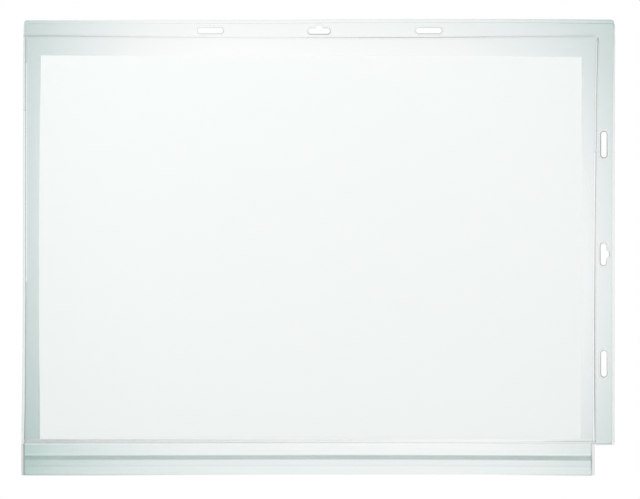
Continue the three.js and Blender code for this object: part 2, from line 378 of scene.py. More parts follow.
# The films were cut by hand and aren't quite straight or square.
left_side = cut_side(
    (-314, -231.1), (-306, -230.95), (-287, -230.65), (-248, -230.2), (-209, -230.05), (-155, -229.9),
    (-23, -229.85), (-7, -229.55), (0, -229.4), (8, -229.2),
)
rear_right = cut_side(
    (-320, 227.8), (-287, 227.75), (-248, 227.6), (-209, 227.7), (-155, 227.4), (-100, 227.9), (-54, 228.2),
    (-23, 228.8), (8, 229.1),
)
front_right = cut_side((-320, 229.3), (-131, 229.4), (-54, 229.65), (0, 229.85))
rear_top = cut_side(
    (-229, 8.2), (-200, 8.05), (-170, 8.05), (-131, 8.4), (-31, 8.4), (24, 9.1), (155, 9.1), (187, 8.9),
    (229, 8.6),
)
front_top = cut_side(
    (-31, 5.9), (24, 6.65), (47, 6.65), (63, 6.85), (101, 6.65), (155, 6.65), (187, 6.3), (210, 5.8)
)
SIDE_STATIONS = [z * MM for z in (-312, *range(-300, -10, 20))]
TOP_STATIONS = [x * MM for x in range(-200, 201, 20)]
# Right of the zip each film's foot is the flange's, and hangs lower. A film's sides are its right side,
# its top and how much lower it hangs there.
FLANGE_START = 214.3 * MM
FRONT_SIDES = (front_right, front_top, 0.92 * MM)
REAR_SIDES = (rear_right, rear_top, 0.35 * MM)


def corner_arc(cx, cz, radius, start, steps=6):
    """A quarter turn, anticlockwise from start in degrees."""
    angles = [math.radians(start + 90 * i / steps) for i in range(steps + 1)]
    return [(cx + radius * math.cos(a), cz + radius * math.sin(a)) for a in angles]


def film_outline(right_side, top_side, drop, inset=0.0):
    """A film's outline, anticlockwise seen from the front, starting at its lower left corner."""
    foot = FILM_FOOT + inset
    flange = FLANGE_START + inset
    foot_left = left_side(FILM_FOOT) + inset
    foot_right = right_side(FILM_FOOT) - inset
    left = left_side(TOP_LEVEL) + inset
    right = right_side(TOP_LEVEL) - inset
    corner = TOP_CORNER - inset
    points = corner_arc(foot_left + CORNER, foot + CORNER, CORNER, 180)
    points += [(flange, foot), (flange, foot - drop)]
    points += corner_arc(foot_right - CORNER, foot - drop + CORNER, CORNER, 270)
    points += [(right_side(z) - inset, z) for z in SIDE_STATIONS]
    points += corner_arc(right - corner, top_side(right) - inset - corner, corner, 0)
    points += [(x, top_side(x) - inset) for x in reversed(TOP_STATIONS)]
    points += corner_arc(left + corner, top_side(left) - inset - corner, corner, 90)
    points += [(left_side(z) + inset, z) for z in reversed(SIDE_STATIONS)]
    return points


def spaced(points, longest, closed=True):
    """The same line of points or stations, with more added where a stretch is longer than allowed."""
    ends = points[1:] + points[:1] if closed else points[1:]
    out = []
    for a, b in zip(points, ends):
        steps = max(1, math.ceil(math.dist(a[:2], b[:2]) / longest))
        for share in (i / steps for i in range(steps)):
            out.append(tuple(p + (q - p) * share for p, q in zip(a, b)))
    if not closed:
        out.append(points[-1])
    return out


def bump_rise(along_slot):
    """How far the euro slot's upper side bulges at this distance from its middle."""
    share = (abs(along_slot) - BUMP_FLAT) / (BUMP_REACH - BUMP_FLAT)
    return BUMP_HEIGHT * (1 - smooth(share))


def slot_outline(length, euro, steps=8):
    """A punched slot about its own centre: along, up."""
    half = SLOT_WIDTH / 2
    straight = length / 2 - SLOT_WIDTH / 2
    points = []
    for hand, start in ((1, -90), (-1, 90)):
        for i in range(steps + 1):
            angle = math.radians(start + 180 * i / steps)
            points.append((hand * straight + half * math.cos(angle), half * math.sin(angle)))
    points = spaced(points, SLOT_STEP)
    if euro:
        points = [(a, b + bump_rise(a) * smooth(b / half + BUMP_START) - EURO_DROP) for a, b in points]
    return points


def slot_holes():
    holes = []
    for x, z, euro, upright, _ in SLOTS:
        ring = slot_outline(EURO_LENGTH if euro else OBLONG_LENGTH, euro)
        if upright:
            holes.append([(x + b, z - a) for a, b in ring])
        else:
            holes.append([(x + a, z + b) for a, b in ring])
    return holes


# Meshes


def new_object(name, data, materials=()):
    for material in materials:
        data.materials.append(material)
    piece = bpy.data.objects.new(name, data)
    bpy.context.scene.collection.objects.link(piece)
    return piece


def finished(name, bm, materials, sharp=35.0):
    """Turns a bmesh into a closed, outward-facing, smooth-shaded piece."""
    bmesh.ops.recalc_face_normals(bm, faces=bm.faces)
    for face in bm.faces:
        face.smooth = True
    mesh = bpy.data.meshes.new(name)
    bm.to_mesh(mesh)
    bm.free()
    mesh.set_sharp_from_angle(angle=math.radians(sharp))
    return new_object(name, mesh, materials)


def skin(bm, rings, finishes=None, capped=True):
    """Joins rings of vertices to one tube. finishes gives the material number of each side, and the
    tube's two caps have the first material."""
    for a, b in zip(rings, rings[1:]):
        for k in range(len(a)):
            m = (k + 1) % len(a)
            face = bm.faces.new((a[k], a[m], b[m], b[k]))
            face.material_index = finishes[k] if finishes else 0
    if capped:
        bm.faces.new(rings[0])
        bm.faces.new(list(reversed(rings[-1])))


def inside(point, ring):
    x, z = point
    odd = False
    for (ax, az), (bx, bz) in zip(ring, ring[1:] + ring[:1]):
        if (az > z) != (bz > z) and x < ax + (z - az) * (bx - ax) / (bz - az):
            odd = not odd
    return odd


def near_ring(point, ring, distance):
    return any(math.dist(point, corner) < distance for corner in ring)


def film_mesh(name, outline, holes, inner_face, outward, extra, materials, lanes=()):
    """A film cut to the outline with its slots punched out. Its inner face's depth is a function of x and
    z. Each lane is an outline and the number of the material inside it."""
    rings = [spaced(outline, OUTLINE_STEP)] + holes + [spaced(lane, LANE_STEP) for lane, _ in lanes]
    points = [p for ring in rings for p in ring]
    edges = []
    first = 0
    for ring in rings:
        count = len(ring)
        edges += [(first + i, first + (i + 1) % count) for i in range(count)]
        first += count
    (low_x, high_x), (low_z, high_z) = ((min(axis), max(axis)) for axis in zip(*outline))
    columns = int((high_x - low_x) / GRID_CELL)
    rows = int((high_z - low_z) / GRID_CELL)
    grid = [
        (low_x + (i + 0.5 + 0.5 * (j % 2)) * GRID_CELL, low_z + (j + 0.5) * GRID_CELL)
        for i in range(columns + 1)
        for j in range(rows + 1)
    ]
    for p in grid + extra:
        if inside(p, rings[0]) and not near_ring(p, rings[0], OUTLINE_ROOM):
            if not any(inside(p, h) or near_ring(p, h, HOLE_ROOM) for h in holes):
                points.append(p)
    flat, _, faces, _, _, _ = delaunay_2d_cdt([Vector(p) for p in points], edges, [], 1, SAME_POINT)
    kept = []
    for face in faces:
        middle = sum((flat[i] for i in face), Vector((0, 0))) / len(face)
        if inside(middle, rings[0]) and not any(inside(middle, h) for h in holes):
            kept.append((face, next((finish for lane, finish in lanes if inside(middle, lane)), 0)))
    bm = bmesh.new()
    outer = [bm.verts.new((p.x, inner_face(p.x, p.y) + outward * FILM, p.y)) for p in flat]
    inner = [bm.verts.new((p.x, inner_face(p.x, p.y), p.y)) for p in flat]
    uses = {}
    for face, finish in kept:
        bm.faces.new([outer[i] for i in face]).material_index = finish
        bm.faces.new([inner[i] for i in reversed(face)]).material_index = finish
        for a, b in zip(face, face[1:] + face[:1]):
            uses.setdefault(frozenset((a, b)), []).append((a, b))
    for pairs in uses.values():
        if len(pairs) == 1:
            a, b = pairs[0]
            bm.faces.new((outer[b], outer[a], inner[a], inner[b]))
    bmesh.ops.delete(bm, geom=[v for v in bm.verts if not v.link_faces], context="VERTS")
    return finished(name, bm, materials)


SWELL_RUN = 30 * MM
SWELL_DEPTH = 0.45 * MM
# Each wave's run across and up the panel for one radian
SWELL_WAVES = ((23 * MM, 61 * MM), (41 * MM, -29 * MM))


def from_welds(x, z):
    """How far in from the left seam, the right weld, the top weld and the tape weld a place is."""
    return x - seam_high.x, right_weld_low.x - x, top_weld_low.z - z, z - front_tape_high.z


def swell(x, z):
    """The pocket's two panels stand apart a little between their welds, in long uneven waves."""
    left, right, top, foot = (smooth(distance / SWELL_RUN) for distance in from_welds(x, z))
    waves = sum((0.25 * math.sin(x / across + z / up) for across, up in SWELL_WAVES), 0.5)
    return left * right * top * foot * waves * SWELL_DEPTH


def pan(x, z):
    """0 on the front film's welded border, 1 on its panel, rising over a short run inside the welds."""
    return smooth(min(from_welds(x, z)[:3]) / PAN_RUN)


def front_inner(x, z):
    return BORDER_INNER + (PANEL_INNER - BORDER_INNER) * pan(x, z) - swell(x, z)


# The rear panel's waves are the front one's, read further along, so that the two differ.
REAR_SWELL_SHIFT = (37 * MM, 51 * MM)


def rear_inner(x, z):
    return REAR_INNER + swell(x + REAR_SWELL_SHIFT[0], z + REAR_SWELL_SHIFT[1]) * pan(x, z)


RISE_SHARES = (0.12, 0.36, 0.64, 0.88)
RISE_STEP = 5 * MM
RISE_ROWS = 64
RISE_COLUMNS = 86
RISE_FOOT_ROOM = 2 * MM


def rise_points():
    """Extra points where the front film rises from its welds."""
    points = []
    for share in RISE_SHARES:
        run = PAN_RUN * share
        for i in range(RISE_ROWS):
            z = top_weld_low.z - run - i * RISE_STEP
            points.append((seam_high.x + run, z))
            points.append((right_weld_low.x - run, z))
        for i in range(RISE_COLUMNS):
            points.append((seam_high.x + run + RISE_STEP * (i + 1), top_weld_low.z - run))
    far_right = right_weld_low.x - PAN_RUN * 0.1
    return [p for p in points if p[1] > FILM_FOOT + RISE_FOOT_ROOM and p[0] < far_right]


BEAD_HEIGHT = 0.1 * MM
BEAD_SIDES = 8
BEAD_END = 0.6


def bead(name, path, width, face, outward, material, darkening=None):
    """A rounded bead of plastic along a path on a film's face at depth face. Its last argument gives how
    strongly its dark finish shows at x and z, which on the cut edges is painted shade."""
    path = spaced(path, BEAD_STEP, closed=False)
    last = len(path) - 1
    bm = bmesh.new()
    darkness = bm.verts.layers.float.new("darkness")
    rings = []
    for i, (x, z) in enumerate(path):
        back = path[max(i - 1, 0)]
        ahead = path[min(i + 1, last)]
        heading = Vector((ahead[0] - back[0], ahead[1] - back[1])).normalized()
        side = Vector((-heading.y, heading.x))
        taper = BEAD_END if i in (0, last) else 1.0
        ring = []
        for k in range(BEAD_SIDES):
            angle = math.pi * k / (BEAD_SIDES - 1)
            s = math.cos(angle) * width / 2 * taper
            h = math.sin(angle) * BEAD_HEIGHT * taper - SEAT
            vertex = bm.verts.new((x + side.x * s, face + outward * h, z + side.y * s))
            vertex[darkness] = darkening(x, z) if darkening else 1.0
            ring.append(vertex)
        rings.append(ring)
    skin(bm, rings)
    return finished(name, bm, [material], sharp=60)


def root_piece(piece):
    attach(piece, "root")
    return piece


# The grooves that the hot bars left, with how hard the bar pressed at each station
LEFT_GROOVE = line(
    (-317.3, -228.75, 2.1), (-308, -228.6, 1.3), (-287, -228.2, 0.8), (-209, -227.9, 0.7),
    (-54, -227.85, 0.8), (-20, -227.85, 0.6), (-6.3, -227.9, 0.4),
)
RIGHT_GROOVE = line(
    (-317.9, 214.2, 1.2), (-310, 214.15, 2.1), (-287, 214.0, 3.7), (-248, 213.95, 3.4), (-209, 214.0, 3.3),
    (-155, 214.3, 1.7), (-131, 214.5, 1.8), (-77, 215.2, 1.5), (-54, 215.3, 1.5), (-23, 216.0, 1.9),
    (-5.4, 216.5, 2.8),
)
TOP_GROOVE = line(
    (-229.5, -4.1, 0.6), (-201, -4.05, 1.5), (-170, -4.5, 1.2), (-131, -4.85, 1.0), (-54, -5.5, 0.7),
    (-30, -5.45, 0.8), (24, -5.4, 1.7), (47, -5.35, 2.6), (63, -5.35, 2.3), (101, -5.2, 2.1),
    (125, -4.85, 2.0), (156, -4.65, 0.9), (187, -4.45, 0.65), (213.7, -4.0, 0.25),
)
# The tape weld has two grooves: the presses are the lower one's and the upper one's.
TAPE_GROOVES = line(
    (-230.1, -319.45, 0.0, 0.0), (-201, -319.45, 0.2, 0.2), (-170, -319.5, 0.05, 0.15),
    (-131, -319.5, 0.5, 0.6), (-93, -319.5, 0.8, 0.5), (-15, -319.5, 0.8, 0.35), (24, -319.5, 0.75, 0.5),
    (62, -319.5, 0.65, 0.15), (101, -319.6, 0.5, 0.1), (140, -320.1, 0.8, 0.1), (171, -320.2, 0.6, 0.4),
    (194, -320.2, 0.6, 1.9), (213.9, -320.1, 0.6, 1.5),
)
# Half the groove's width, in mm
GROOVE = 0.35
# The rear film's finishes for lanes beside and under the welds, drawn with less haze and less painted shade
# as painted highlights, by their number in its list
PALER_LANE = 1
PALE_LANE = 2
# The upright lanes: beside which groove, their sides in mm from it, their foot, their top and the finish
LANE_POINTS = 16
UPRIGHT_LANES = (
    (LEFT_GROOVE, -GROOVE, -4.5, FILM_FOOT - MM, -62 * MM, PALER_LANE),
    (LEFT_GROOVE, -0.75, -4.5, -61.5 * MM, -5 * MM, PALER_LANE),
    (LEFT_GROOVE, -GROOVE, -4.5, -4.5 * MM, 12 * MM, PALE_LANE),
    (LEFT_GROOVE, 1.1, GROOVE, -195 * MM, -25 * MM, PALER_LANE),
    (RIGHT_GROOVE, -GROOVE, -1.25, FILM_FOOT + MM, -95 * MM, PALER_LANE),
    (RIGHT_GROOVE, -GROOVE, -0.8, -94 * MM, -8 * MM, PALER_LANE),
)
# The sides, foot and top of the lane under the tape weld
TAPE_LANE = (-227.9 * MM, 211.4 * MM, FILM_FOOT - MM, -317.4 * MM)


def upright_lane(groove, near, far, low, high):
    places = [low + (high - low) * i / LANE_POINTS for i in range(LANE_POINTS + 1)]
    middle = [(along([g[:2] for g in groove], z), z) for z in places]
    return [(x + near * MM, z) for x, z in middle] + [(x + far * MM, z) for x, z in reversed(middle)]


# The two films
def make_films():
    holes = slot_holes()
    lanes = [(upright_lane(*where), finish) for *where, finish in UPRIGHT_LANES]
    left, right, foot, top = TAPE_LANE
    lanes.append(([(left, foot), (right, foot), (right, top), (left, top)], PALE_LANE))
    outline = film_outline(*REAR_SIDES)
    finishes = [rear_film_pvc, paler_lane_pvc, pale_lane_pvc]
    rear = film_mesh("rear_film_sheet", outline, holes, rear_inner, BACK, [], finishes, lanes)
    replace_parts(root_piece(rear), "rear_film")
    outline = film_outline(*FRONT_SIDES)
    extra = rise_points()
    front = film_mesh("front_film_sheet", outline, holes, front_inner, FRONT, extra, [front_film_pvc])
    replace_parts(root_piece(front), "front_film")


# The films' cut edges. A cut edge bends light aside, so its line is drawn darker than the film's face, as
# painted shade. Where only one film reaches, beyond the other's edge, its own haze and the painted shade
# falloff show.
TOP_EDGE = 3.5 * MM
# How strongly the edges' painted shade shows: little on the right side, more on the left side and the top,
# and most in the top right corner and along the flange's foot. Places along the top are in mm.
RIGHT_EDGE_SHADE = 0.35
LEFT_EDGE_SHADE = 0.8
FLANGE_FOOT_SHADE = 4.4
TOP_EDGE_SHADE = [(-229, 0.9), (-200, 0.3), (-131, 0.3), (-60, 1.8), (-25, 1.6), (24, 0.8), (100, 0.9)]
TOP_EDGE_SHADE += [(155, 1.1), (185, 1.6)]
FRONT_TOP_SHADE = TOP_EDGE_SHADE + [(206, 1.6), (218, 3.0)]
REAR_TOP_SHADE = TOP_EDGE_SHADE + [(215, 3.2)]


def edge_shade_strength(top_shade):
    def darkening(x, z):
        if z > TOP_EDGE:
            return along(top_shade, x / MM)
        if z < FILM_FOOT + CORNER:
            return FLANGE_FOOT_SHADE
        return RIGHT_EDGE_SHADE if x > 0 else LEFT_EDGE_SHADE

    return darkening


def flat_strip(name, strips, face):
    """A flat strip up the side. strips gives its left edge, height and right edge at each station."""
    bm = bmesh.new()
    rows = []
    for left, z, right in strips:
        corners = ((left, face), (right, face), (right, face - BEAD_HEIGHT), (left, face - BEAD_HEIGHT))
        rows.append([bm.verts.new((x, y, z)) for x, y in corners])
    skin(bm, rows)
    return finished(name, bm, [single_edge_pvc])


CUT_EDGE_WIDTH = 0.7 * MM
FRONT_LEFT_FOOT = FILM_FOOT + 3 * MM
REAR_LEFT_FOOT = -3 * MM
FOLD_WIDTH = 0.8 * MM
FOLD_INSET = 1.8 * MM
FOLD_PLACES = (4 * MM, 1 * MM, -3 * MM)


def make_cut_edges():
    for name, sides, left_foot, face, outward, top_shade in (
        ("front_film_cut_edge", FRONT_SIDES, FRONT_LEFT_FOOT, BORDER_OUTER, FRONT, FRONT_TOP_SHADE),
        ("rear_film_cut_edge", REAR_SIDES, REAR_LEFT_FOOT, REAR_OUTER, BACK, REAR_TOP_SHADE),
    ):
        # From the flange's foot, up the right side, along the top and down the left as far as left_foot
        path = [p for p in film_outline(*sides, CUT_EDGE_WIDTH / 2) if p[0] > 0 or p[1] > left_foot]
        edge = bead(name, path, CUT_EDGE_WIDTH, face, outward, edge_and_fold_shade_pvc, edge_shade_strength(top_shade))
        root_piece(edge)
    # A fold line near the left edge, drawn as painted shade in the edges' dark finish
    fold = [(left_side(z) + FOLD_INSET, z) for z in FOLD_PLACES]
    root_piece(bead("left_edge_fold", fold, FOLD_WIDTH, BORDER_OUTER, FRONT, edge_and_fold_shade_pvc))
    levels = (FILM_FOOT + CORNER, *SIDE_STATIONS, front_high.z - 0.6 * TOP_CORNER)
    strips = [(rear_right(z), z, front_right(z)) for z in levels]
    root_piece(flat_strip("single_film_strip", strips, BORDER_INNER - SEAT))


# The welds. Each hot bar leaves pressed grooves, darker than the film, with fused lanes beside them drawn
# pale as painted highlight.
# A weld is one solid bar with lanes along it: where each lane starts across the bar, how deep the hot
# bar pressed it, and its finish.
def weld_bar(name, node, stations, lanes, front, rear, upright):
    finishes = list(dict.fromkeys(finish for _, _, finish in lanes if finish))
    numbers = [finishes.index(finish) for _, _, finish in lanes if finish]
    grooves = [k for k, lane in enumerate(lanes) if lane[2] is groove_pvc]
    bm = bmesh.new()
    darkness = bm.verts.layers.float.new("darkness")
    rings = []
    for place, across, *presses in spaced(stations, STATION_STEP, closed=False):
        fronts = []
        rears = []
        for k, (offset, depth, _) in enumerate(lanes):
            x, z = (across + offset * MM, place) if upright else (place, across + offset * MM)
            fronts.append(bm.verts.new((x, front + depth * MM, z)))
            rears.append(bm.verts.new((x, rear, z)))
            nearest = next((i for i, g in enumerate(grooves) if k in (g, g + 1)), 0)
            fronts[k][darkness] = presses[nearest]
            rears[k][darkness] = presses[nearest]
        rings.append(fronts + rears[::-1])
    skin(bm, rings, numbers + numbers[-1:] + numbers[::-1] + numbers[:1], capped=False)
    for ring in (rings[0], rings[-1]):
        for k, number in enumerate(numbers):
            face = bm.faces.new((ring[k], ring[k + 1], ring[-k - 2], ring[-k - 1]))
            face.material_index = number
    piece = root_piece(finished(name, bm, finishes, sharp=20))
    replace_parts(piece, node)


# Where the right bar ended it nipped the front film.
NIP = [(214.5 * MM, z * MM) for z in (-318.2, -318.7, -319.2)]
NIP_WIDTH = 0.8 * MM
NIP_PRESS = 3.5


def make_film_welds():
    """The three welds between the films, on the pocket's top, right and left."""
    groove = ((-GROOVE, 0, groove_pvc), (GROOVE, 0, fused_and_highlight_pvc))
    for name, node, stations, near, far, upright in (
        ("top_weld_bar", "top_weld", TOP_GROOVE, -1.5, 1.4, False),
        ("right_weld_bar", "right_weld", RIGHT_GROOVE, -1.9, 1.3, True),
        ("left_seam_bar", "left_seam", LEFT_GROOVE, -1.0, 0.85, True),
    ):
        lanes = ((near, 0, fused_and_highlight_pvc), *groove, (far, 0, None))
        weld_bar(name, node, stations, lanes, BORDER_INNER + SEAT, REAR_INNER - SEAT, upright)
    nip = bead("right_weld_nip", NIP, NIP_WIDTH, BORDER_OUTER, FRONT, edge_shadow_and_nip_pvc, lambda x, z: NIP_PRESS)
    root_piece(nip)


def make_tape_welds():
    """The welds that carry the zip's two tapes, on the pocket's outside."""
    front_lanes = ((-0.9, 0.05, fused_and_highlight_pvc), (-GROOVE, 0.0, groove_pvc), (GROOVE, 0.03, fused_and_highlight_pvc))
    front_lanes += ((1.3, 0.0, groove_pvc), (1.9, 0.08, fused_and_highlight_pvc), (2.1, 0.12, None))
    rear_lanes = ((-1.2, -0.1, fused_and_highlight_pvc), (-0.8, 0.0, fused_and_highlight_pvc), (0.9, 0.0, fused_and_highlight_pvc), (1.2, -0.1, None))
    for name, node, lanes, face, seat in (
        ("front_tape_weld_bar", "front_tape_weld", front_lanes, front_tape_low.y, front_tape_high.y + SEAT),
        ("rear_tape_weld_bar", "rear_tape_weld", rear_lanes, rear_tape_high.y, rear_tape_low.y - SEAT),
    ):
        weld_bar(name, node, TAPE_GROOVES, lanes, face, seat, upright=False)


# How hard the bar pressed down each end of the zip, by height in mm
LEFT_BAR = [(-320.7, 3.3), (-333, 3.2), (-344.9, 3.5)]
RIGHT_BAR = [(-320.7, 2.0), (-327, 2.3), (-329.5, 3.6), (-332, 2.8), (-333.5, 4.6), (-336.5, 4.5)]
RIGHT_BAR += [(-339, 3.6), (-341.5, 2.8), (-345.1, 1.9)]
RIGHT_END_GROOVE = 0.65
LEFT_LANES = ((-0.6, 0.6, end_flash_pvc), (0.6, 0.1, groove_pvc), (2.05, 0.0, None))
RIGHT_LANES = ((-RIGHT_END_GROOVE, 0.0, groove_pvc), (0.0, 0.1, end_flash_pvc))
RIGHT_LANES += ((1.5, 0.5, end_flash_pvc), (2.1, 0.8, None))


def make_end_welds():
    """The zip's two ends, each fused to one solid bar with a thin apron of flash past it."""
    for name, node, low, high, lanes, presses in (
        ("left_end_weld_bar", "zip_end_weld_left", end_left_low, end_left_high, LEFT_LANES, LEFT_BAR),
        ("right_end_weld_bar", "zip_end_weld_right", end_right_low, end_right_high, RIGHT_LANES, RIGHT_BAR),
    ):
        stations = [(z * MM, low.x, darkness) for z, darkness in presses]
        weld_bar(name, node, stations, lanes, low.y, high.y, upright=True)


# The slots' rims, made by Geometry Nodes: a thin dark ring just inside each slot is painted shadow of the
# punched edge, and a pale ring round it is a painted highlight.
RIM_POINTS = 96
END_POINTS = 10
RIM_SIDES = 8
# The ends' radius is a hair under half the slot's width, so that the two arcs of an end don't meet.
NEARLY_HALF = 0.4999


def rim_tree():
    tree = bpy.data.node_groups.new("slot_rims", "GeometryNodeTree")
    sizes = ("Length", "Width", "Bump", "Bump Flat", "Bump Reach", "Drop", "Thickness")
    # The places come first, because a modifier gives the object's own mesh to the first socket.
    sockets = [("Places", "INPUT", "Geometry"), ("Material", "INPUT", "Material")]
    sockets += [("Rims", "OUTPUT", "Geometry"), *((name, "INPUT", "Float") for name in sizes)]
    for name, way, kind in sockets:
        tree.interface.new_socket(name=name, in_out=way, socket_type=f"NodeSocket{kind}")
    given = add(tree, "NodeGroupInput").outputs
    sides = {"Width": given["Length"], "Height": given["Width"]}
    box = add(tree, "GeometryNodeCurvePrimitiveQuadrilateral", sides)
    radius = add(tree, MATHS, [given["Width"], NEARLY_HALF], operation="MULTIPLY")
    ends = {"Curve": box, "Count": END_POINTS, "Radius": radius}
    round_ends = add(tree, "GeometryNodeFilletCurve", ends, mode="POLY")
    even = add(tree, "GeometryNodeResampleCurve", {"Curve": round_ends, "Count": RIM_POINTS}, mode="COUNT")
    split = add(tree, "ShaderNodeSeparateXYZ", [add(tree, "GeometryNodeInputPosition")])
    slope = {
        "Value": add(tree, MATHS, [split.outputs[0]], operation="ABSOLUTE"),
        "From Min": given["Bump Flat"],
        "From Max": given["Bump Reach"],
        "To Min": given["Bump"],
        "To Max": 0.0,
    }
    rise = add(tree, "ShaderNodeMapRange", slope, interpolation_type="SMOOTHSTEP")
    upper = add(tree, MATHS, [split.outputs[1], 0.0], operation="GREATER_THAN")
    lift = add(tree, MATHS, [rise, upper], operation="MULTIPLY")
    lift = add(tree, MATHS, [lift, given["Drop"]], operation="SUBTRACT")
    offset = add(tree, "ShaderNodeCombineXYZ", {"Y": lift})
    bumped = add(tree, "GeometryNodeSetPosition", {"Geometry": even, "Offset": offset})
    # The section of both rims, the painted shadow ring and the painted highlight ring
    section = {"Resolution": RIM_SIDES, "Radius": given["Thickness"]}
    rim_section = add(tree, "GeometryNodeCurvePrimitiveCircle", section)
    tube = add(tree, "GeometryNodeCurveToMesh", {"Curve": bumped, "Profile Curve": rim_section})
    turned = add(tree, "GeometryNodeInputNamedAttribute", {"Name": "turn"}, data_type="FLOAT_VECTOR")
    copies = {"Points": given["Places"], "Instance": tube, "Rotation": turned.outputs["Attribute"]}
    placed = add(tree, "GeometryNodeInstanceOnPoints", copies)
    real = add(tree, "GeometryNodeRealizeInstances", [placed])
    painted = add(tree, "GeometryNodeSetMaterial", {"Geometry": real, "Material": given["Material"]})
    add(tree, "NodeGroupOutput", [painted])
    return tree


# How strongly the painted edge shadow inside each slot shows: on the whole, how much more on a slot's
# lower side, where more shade is painted, and how much more towards its far end. The tip of a euro slot's
# bump starts this far past its side, and has its own.
EDGE_SHADOW_MEAN = 0.8
EURO_SHADOW_SLOPE = 0.4
OBLONG_SHADOW_SLOPE = 0.22
EDGE_SHADOW_SLANT = 0.15
BUMP_TIP = 1.2 * MM
BUMP_TIP_SIDE = 1.3
BUMP_TIP_TOP = 0.5


def edge_shadow_strength(x, z, places):
    """How strong the nearest slot's painted edge shadow is here: most shade is painted on its lower side."""
    slot_x, slot_z, euro, upright, shadow_depth = min(places, key=lambda p: math.dist((x, z), p[:2]))
    out = (x - slot_x) if upright else (z - slot_z)
    run = (slot_z - z) if upright else (x - slot_x)
    if out > SLOT_WIDTH / 2 + BUMP_TIP:
        return BUMP_TIP_SIDE if upright else BUMP_TIP_TOP
    darkening = EURO_SHADOW_SLOPE if euro else OBLONG_SHADOW_SLOPE
    return shadow_depth * (EDGE_SHADOW_MEAN - darkening * out / (SLOT_WIDTH / 2) + EDGE_SHADOW_SLANT * run / (OBLONG_LENGTH / 2))


def rims(tree, name, euro, grow, radius, flatness, material):
    """Rims round all the euro slots or all the oblong ones, on the front film's face."""
    places = [p for p in SLOTS if p[2] == euro]
    points = bpy.data.meshes.new(f"{name}_places")
    points.from_pydata([(p[0], BORDER_OUTER, p[1]) for p in places], [], [])
    turns = points.attributes.new("turn", "FLOAT_VECTOR", "POINT")
    for i, p in enumerate(places):
        turns.data[i].vector = (math.pi / 2, math.pi / 2 if p[3] else 0.0, 0.0)
    carrier = new_object(f"{name}_carrier", points)
    modifier = carrier.modifiers.new("rims", "NODES")
    modifier.node_group = tree
    values = {
        "Length": (EURO_LENGTH if euro else OBLONG_LENGTH) + 2 * grow,
        "Width": SLOT_WIDTH + 2 * grow,
        "Bump": BUMP_HEIGHT if euro else 0.0,
        "Bump Flat": BUMP_FLAT,
        "Bump Reach": BUMP_REACH + grow,
        "Drop": EURO_DROP if euro else 0.0,
        "Thickness": radius,
        "Material": material,
    }
    for item in tree.interface.items_tree:
        if item.in_out == "INPUT" and item.name in values:
            modifier[item.identifier] = values[item.name]
    depsgraph = bpy.context.evaluated_depsgraph_get()
    mesh = bpy.data.meshes.new_from_object(carrier.evaluated_get(depsgraph))
    carrier.modifiers.clear()
    bpy.data.objects.remove(carrier)
    for vertex in mesh.vertices:
        vertex.co.y = BORDER_OUTER + (vertex.co.y - BORDER_OUTER) * flatness
    bm = bmesh.new()
    bm.from_mesh(mesh)
    bmesh.ops.remove_doubles(bm, verts=bm.verts, dist=SAME_POINT)
    bpy.data.meshes.remove(mesh)
    darkness = bm.verts.layers.float.new("darkness")
    for vertex in bm.verts:
        vertex[darkness] = edge_shadow_strength(vertex.co.x, vertex.co.z, places)
    return root_piece(finished(name, bm, [material], sharp=60))


# The two rims, a painted shadow ring and a painted highlight ring: how far outside the slot's side each
# runs, its radius, its flatness and its finish
RIMS = (
    ("burrs", -0.35 * MM, 0.38 * MM, 0.3, edge_shadow_and_nip_pvc),
    ("halos", 1.05 * MM, 0.42 * MM, 0.2, halo_highlight_pvc),
)


def make_rims():
    tree = rim_tree()
    for label, euro in (("oblong", False), ("euro", True)):
        for kind, *sizes, finish in RIMS:
            rims(tree, f"{label}_slot_{kind}", euro, *sizes, finish)


# The zip. Both strips are one extrusion each, split in the middle of the mouth. Section points are
# outwards and down, in mm.
LIP_TOP = 0.3
LIP_FOOT = 24.3
TAPE = 0.3
FOOT_BEAD = 0.22
FOOT_BEAD_HEIGHT = 0.95
# The ridge's and the profile's places down the strip, their heights and how far they stand out
RIDGE = (16.9, 1.3, 0.22)
RIDGE_SIDES = 6
PROFILE = (10.5, 3.6, 0.25)
PROFILE_BEVEL = 0.6
PROFILE_SKIRT = 0.05
# The bright line above the profile, a small step whose brightness is painted highlight, from its top
SHOULDER_START = 0.7
SHOULDER_END = 1.6
SHOULDER_RISE = 0.08
ZIP_ROOM = (REAR_OUTER - PANEL_OUTER) / MM
ZIP_GAP = 0.005 * MM
# The trim reaches this far up the strip from its foot.
TRIM_REACH = 1.5
# How thick the profile's wall came out along the strip, how strongly the painted shade on its cut foot
# shows, how far the strip sags from straight, and how much more was trimmed off its foot. All four are by
# place, in mm.
PROFILE_WALL = [(-225, 1.05), (-185, 1.25), (-123, 1.45), (-53, 1.28), (24, 1.4), (101, 1.32), (171, 1.55)]
PROFILE_WALL += [(207, 1.3)]
ZIP_FOOT_SHADE = [(-225, 1.0), (-160, 1.0), (-95, 0.35), (-40, 0.0), (130, 0.0), (175, 0.8), (211, 0.9)]
STRIP_SAG = line((-225, 0.3), (-110, 0.1), (-60, 0), (20, -0.12), (80, 0), (140, 0.3), (211, 0.75))
FOOT_TRIM = line(
    (-170, -0.15), (-131, 0.1), (-92, 0.3), (0, 0.45), (130, 0.45), (165, 0.1), (195, -0.35), (211, -0.45)
)


